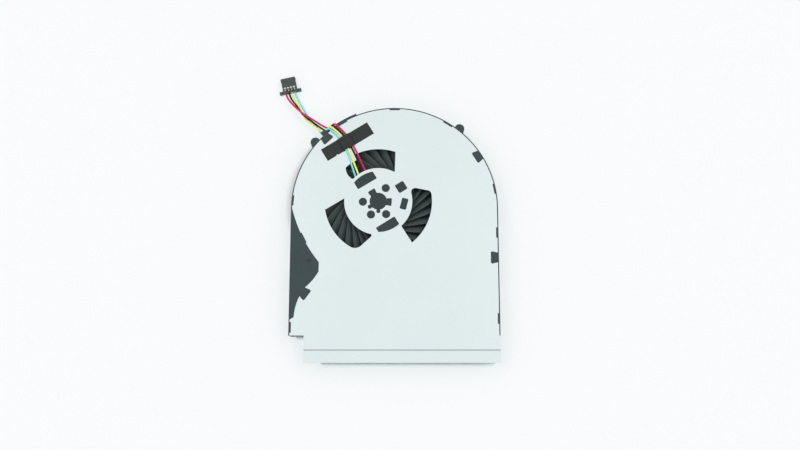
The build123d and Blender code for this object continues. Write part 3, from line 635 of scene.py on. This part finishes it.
def terminals():
    """Tinned contacts with crimped barrels, rolled in from both sides to a seam."""
    tin = grained_solid("terminal_tin", roughness=0.34, metallic=1.0, size=0.05)
    rings = [plug_ring(*section, crimp_squareness, crimp_groove) for section in crimp_sections]
    rings += [plug_ring(*section, box_squareness) for section in box_sections]
    made = plug_row("plug_contacts", rings, len(routes), plug_pitch, plug_level, tin)
    dress(made, tin, "terminal_tin", "plug_terminals")


def plug_ribs(material):
    """Low finger ribs on top of the plug, with rounded ends."""
    far_end = [(rib_length - along, share) for along, share in reversed(rib_ends)]
    rings = []
    for along, share in rib_ends + far_end:
        centre = Vector((rib_start + along, 0, 0))
        rings.append(round_ring(centre, north, up, rib_radius * share, rib_sides))
    made = plug_row("plug_ribs", rings, rib_count, rib_pitch, plug_top, material)
    dress(made, material, "plug_plastic")


def plug_keys(material):
    """Upright keys at the corners of the plug's open end."""
    rings = [plug_ring(*section, key_squareness) for section in key_sections]
    made = plug_row("plug_keys", rings, key_count, key_spread, plug_level, material)
    dress(made, material, "plug_plastic")


def windings():
    """Enamelled copper turns round the stator's teeth."""
    copper = grained_solid("winding_copper", roughness=0.28, metallic=1.0, size=0.06)
    grower = Grower("windings", {
        "Coils": coil_count, "Turns": coil_turns, "Start": coil_start * to_metres,
        "Pitch": coil_pitch * to_metres, "Level": coil_level * to_metres, "Corner": coil_corner * to_metres,
        "Wire Radius": coil_wire / 2 * to_metres, "Material": copper,
    })
    given = grower.given
    wire = grower.node("GeometryNodeCurvePrimitiveCircle", {},
                       {"Resolution": coil_wire_sides, "Radius": given["Wire Radius"]})
    first = grower.node("ShaderNodeCombineXYZ", {}, {"X": given["Start"], "Z": given["Level"]})
    step = grower.node("ShaderNodeCombineXYZ", {}, {"X": given["Pitch"]})
    line = grower.node("GeometryNodeMeshLine", {"mode": "OFFSET"},
                       {"Count": given["Turns"], "Start Location": first, "Offset": step})
    coil = grower.tree.nodes.new("GeometryNodeJoinGeometry")
    for width, height in coil_layers:
        loop = grower.node("GeometryNodeCurvePrimitiveQuadrilateral", {"mode": "RECTANGLE"},
                           {"Width": width * to_metres, "Height": height * to_metres})
        rounded = grower.node("GeometryNodeFilletCurve", {"mode": "POLY"},
                              {"Curve": loop, "Count": coil_corner_steps, "Radius": given["Corner"]})
        turn = grower.node("GeometryNodeCurveToMesh", {}, {"Curve": rounded, "Profile Curve": wire})
        upright = grower.node("GeometryNodeTransform", {},
                              {"Geometry": turn, "Rotation": (pi / 2, 0, pi / 2)})
        layer = grower.node("GeometryNodeInstanceOnPoints", {}, {"Points": line, "Instance": upright})
        grower.tree.links.new(layer, coil.inputs["Geometry"])
    ring = grower.node("GeometryNodeMeshLine", {"mode": "OFFSET"},
                       {"Count": given["Coils"], "Offset": (0, 0, 0)})
    index = grower.node("GeometryNodeInputIndex")
    part = grower.node("ShaderNodeMath", {"operation": "DIVIDE"}, {0: 2 * pi, 1: given["Coils"]})
    angle = grower.node("ShaderNodeMath", {"operation": "MULTIPLY"}, {0: index, 1: part})
    turned = grower.node("ShaderNodeCombineXYZ", {}, {"Z": angle})
    inputs = {"Points": ring, "Instance": coil.outputs["Geometry"], "Rotation": turned}
    made = grower.grow(grower.node("GeometryNodeInstanceOnPoints", {}, inputs))
    smooth(made.data)
    dress(made, copper, "winding_copper", "stator_coils")


def solder():
    """Dome of solder over each lead's stripped end, on the circuit board."""
    mesh = bmesh.new()
    for route in routes.values():
        start = Vector(route[0])
        way = (Vector(route[1]) - start).normalized()
        foot = Vector((start.x, start.y, board_top)) - way * solder_setback
        loft(mesh, [round_ring(foot + up * height, east, north, radius, solder_sides)
                    for radius, height in solder_rings])
        ends = (start, start - way * strand_length)
        loft(mesh, [round_ring(end, way.cross(up), up, strand_radius, strand_sides) for end in ends])
    bright = grained_solid("solder", roughness=0.16, metallic=1.0, size=0.12)
    dress(finished("solder_blobs", mesh), bright, "solder", "solder_joints")


def tape_ridges():
    """Tops of the leads under the tape, in its own frame."""
    back = Matrix.Rotation(radians(-tape_angle), 2)
    reach = (tape_length / 2 + tape_margin, tape_width / 2 + tape_margin)
    ridges = []
    for route in routes.values():
        for point in lead_line(route):
            local = back @ (point.xy - Vector(tape_centre))
            if abs(local.x) < reach[0] and abs(local.y) < reach[1]:
                ridges.append((local.x, local.y, point.z + lead_diameter / 2))
    return ridges


def tape_height(along, across, ridges):
    """Height of the film: on the plate, and draped over the ridges that the leads make."""
    height = plate_top + tape_lift
    for lead_along, lead_across, lead_top in ridges:
        fall = ((along - lead_along) ** 2 + (across - lead_across) ** 2) / (2 * tape_crest)
        height = max(height, lead_top + tape_lift - fall)
    return height


def tape_spot(column, line):
    """Place of a grid point along and across the film, whose ends waver."""
    share = 2 * column / tape_columns - 1
    across = tape_width * (line / tape_rows - 0.5)
    waver = tape_waver * sin(across * waver_rate + waver_shift * share) * abs(share) ** waver_power
    return share * tape_length / 2 + waver, across


def in_nick(along, across):
    """Whether a place on the film is in the nick of its edge."""
    nick_along, nick_across, nick_radius = tape_nick
    return (along - nick_along) ** 2 + (across - nick_across) ** 2 <= nick_radius ** 2


def tape():
    """Strip of tape laid over the leads, with its weave along the strip and a nick in one edge."""
    ridges = tape_ridges()
    turn = Matrix.Rotation(radians(tape_angle), 2)
    mesh = bmesh.new()
    weave = mesh.loops.layers.uv.new("weave")
    spots = {}
    columns = []
    for column in range(tape_columns + 1):
        points = []
        for line in range(tape_rows + 1):
            spot = tape_spot(column, line)
            place = Vector(tape_centre) + turn @ Vector(spot)
            point = mesh.verts.new(mm(*place, tape_height(*spot, ridges)))
            spots[point] = spot
            points.append(point)
        columns.append(points)
    for first, second in zip(columns, columns[1:]):
        for line in range(tape_rows):
            corners = (first[line], second[line], second[line + 1], first[line + 1])
            if not all(in_nick(*spots[corner]) for corner in corners):
                mesh.faces.new(corners)
    for face in mesh.faces:
        for loop in face.loops:
            loop[weave].uv = spots[loop.vert]
    loose = [point for point in mesh.verts if not point.link_faces]
    bmesh.ops.delete(mesh, geom=loose, context="VERTS")
    made = finished("tape_film", mesh)
    film = made.modifiers.new("film", "SOLIDIFY")
    film.thickness = tape_thickness * to_metres
    film.offset = 1
    dress(made, cloth_tape("tape"), "tape", "tape_strip")


def stage():
    """Pale floor that glows by itself, but for a round of it under the housing."""
    mesh = bpy.data.meshes.new("floor")
    half = floor_size / 2
    corners = [(-half, -half), (half, -half), (half, half), (-half, half)]
    mesh.from_pydata([mm(*corner, -floor_drop) for corner in corners], [], [(0, 1, 2, 3)])
    floor = link("floor", mesh)
    paper = Finish("floor_paper")
    paper.set(Base_Color=paper.colour, Roughness=0.9, Specular_IOR_Level=0.1)
    flat = paper.node("ShaderNodeMapping", {}, {"Vector": paper.place(), "Scale": (1, 1, 0)})
    reach = paper.node("ShaderNodeVectorMath", {"operation": "LENGTH"}, {0: flat}, 1)
    dark_edge, bright_edge = glow_edges
    share = paper.ramp(reach / bright_edge, (dark_edge / bright_edge, 0), (1, 1))
    paper.set(Emission_Color=paper.mix(share, (0, 0, 0), floor_glow), Emission_Strength=1.0)
    mesh.materials.append(paper.material)
    bpy.context.scene.view_settings.view_transform = "Standard"


def sky():
    """Studio dome, bright overhead and dimmer towards the horizon, with a soft lamp on each side."""
    dome = Finish("sky", "worlds", "Background")
    way = dome.node("ShaderNodeTexCoord", output="Generated")
    strength = dome.ramp(dome.axis(way, 2), *sky_stops) * sky_strength
    outer, inner = (cos(radians(edge)) for edge in lamp_edges)
    tilt = Matrix.Rotation(radians(90 - lamp_height), 3, "X")
    for side in lamp_sides:
        lamp_way = (Matrix.Rotation(radians(side), 3, "Z") @ tilt).col[2]
        inputs = {0: way, 1: lamp_way}
        facing = dome.node("ShaderNodeVectorMath", {"operation": "DOT_PRODUCT"}, inputs, 1)
        strength = strength + dome.ramp(facing, (outer, 0), (inner, 1)) * lamp_strength
    dome.set(Color=dome.colour, Strength=strength)
    bpy.context.scene.world = dome.material


def camera():
    """Camera of the photograph."""
    data = bpy.data.cameras.new("camera")
    data.sensor_width = sensor_width
    data.lens = sensor_width * focal_pixels / image_width
    data.clip_start, data.clip_end = mm(*camera_range)
    made = link("camera", data)
    made.location = mm(*camera_place)
    made.rotation_euler = (radians(camera_tilt), 0, 0)
    bpy.context.scene.camera = made


stage()
sky()
camera()
paint(sheet_metal("plate_metal", roughness=0.16), "base_plate")
# cover_metal carries painted light: a lighter base colour that offsets the shade under the plate's lip
paint(sheet_metal("cover_metal", roughness=0.16), "inlet_cover")
paint(moulded_plastic("frame_plastic", speck=0.35, roughness=0.5), "frame")
paint(moulded_plastic("mount_plastic", speck=0.15, roughness=0.5), "motor_mount")
paint(blade_plastic("impeller_plastic"), "impeller")
paint(turned_metal("screw_steel", roughness=0.38), "cover_screws")
paint(turned_metal("tube_brass", roughness=0.28), "bearing_tube")
paint(turned_metal("sleeve_bronze", roughness=0.45), "bearing_sleeve")
paint(turned_metal("shaft_steel", roughness=0.16), "shaft")
paint(turned_metal("yoke_steel", roughness=0.32), "rotor_yoke")
paint(grained_solid("core_steel", roughness=0.42, metallic=1.0, size=0.10), "stator_core")
paint(grained_solid("magnet", roughness=0.55, metallic=0.3, size=0.06), "ring_magnet")
paint(grained_solid("capacitor_ceramic", roughness=0.45, metallic=0.0, size=0.05), "chip_capacitors")
paint(moulded_plastic("bearing_plastic", speck=0.05, roughness=0.4), "thrust_pad", "shaft_retainer")
paint(moulded_plastic("insulator_plastic", speck=0.05, roughness=0.4), "lower_insulator", "upper_insulator")
paint(moulded_plastic("chip_epoxy", speck=0.2, roughness=0.5), "driver_chip", "hall_sensor")
paint(board_laminate("board_laminate"), "circuit_board")
plug_plastic = moulded_plastic("plug_plastic", speck=0.2, roughness=0.42)
paint(plug_plastic, "plug_housing")
terminals()
plug_ribs(plug_plastic)
plug_keys(plug_plastic)
windings()
solder()
tape()
leads()
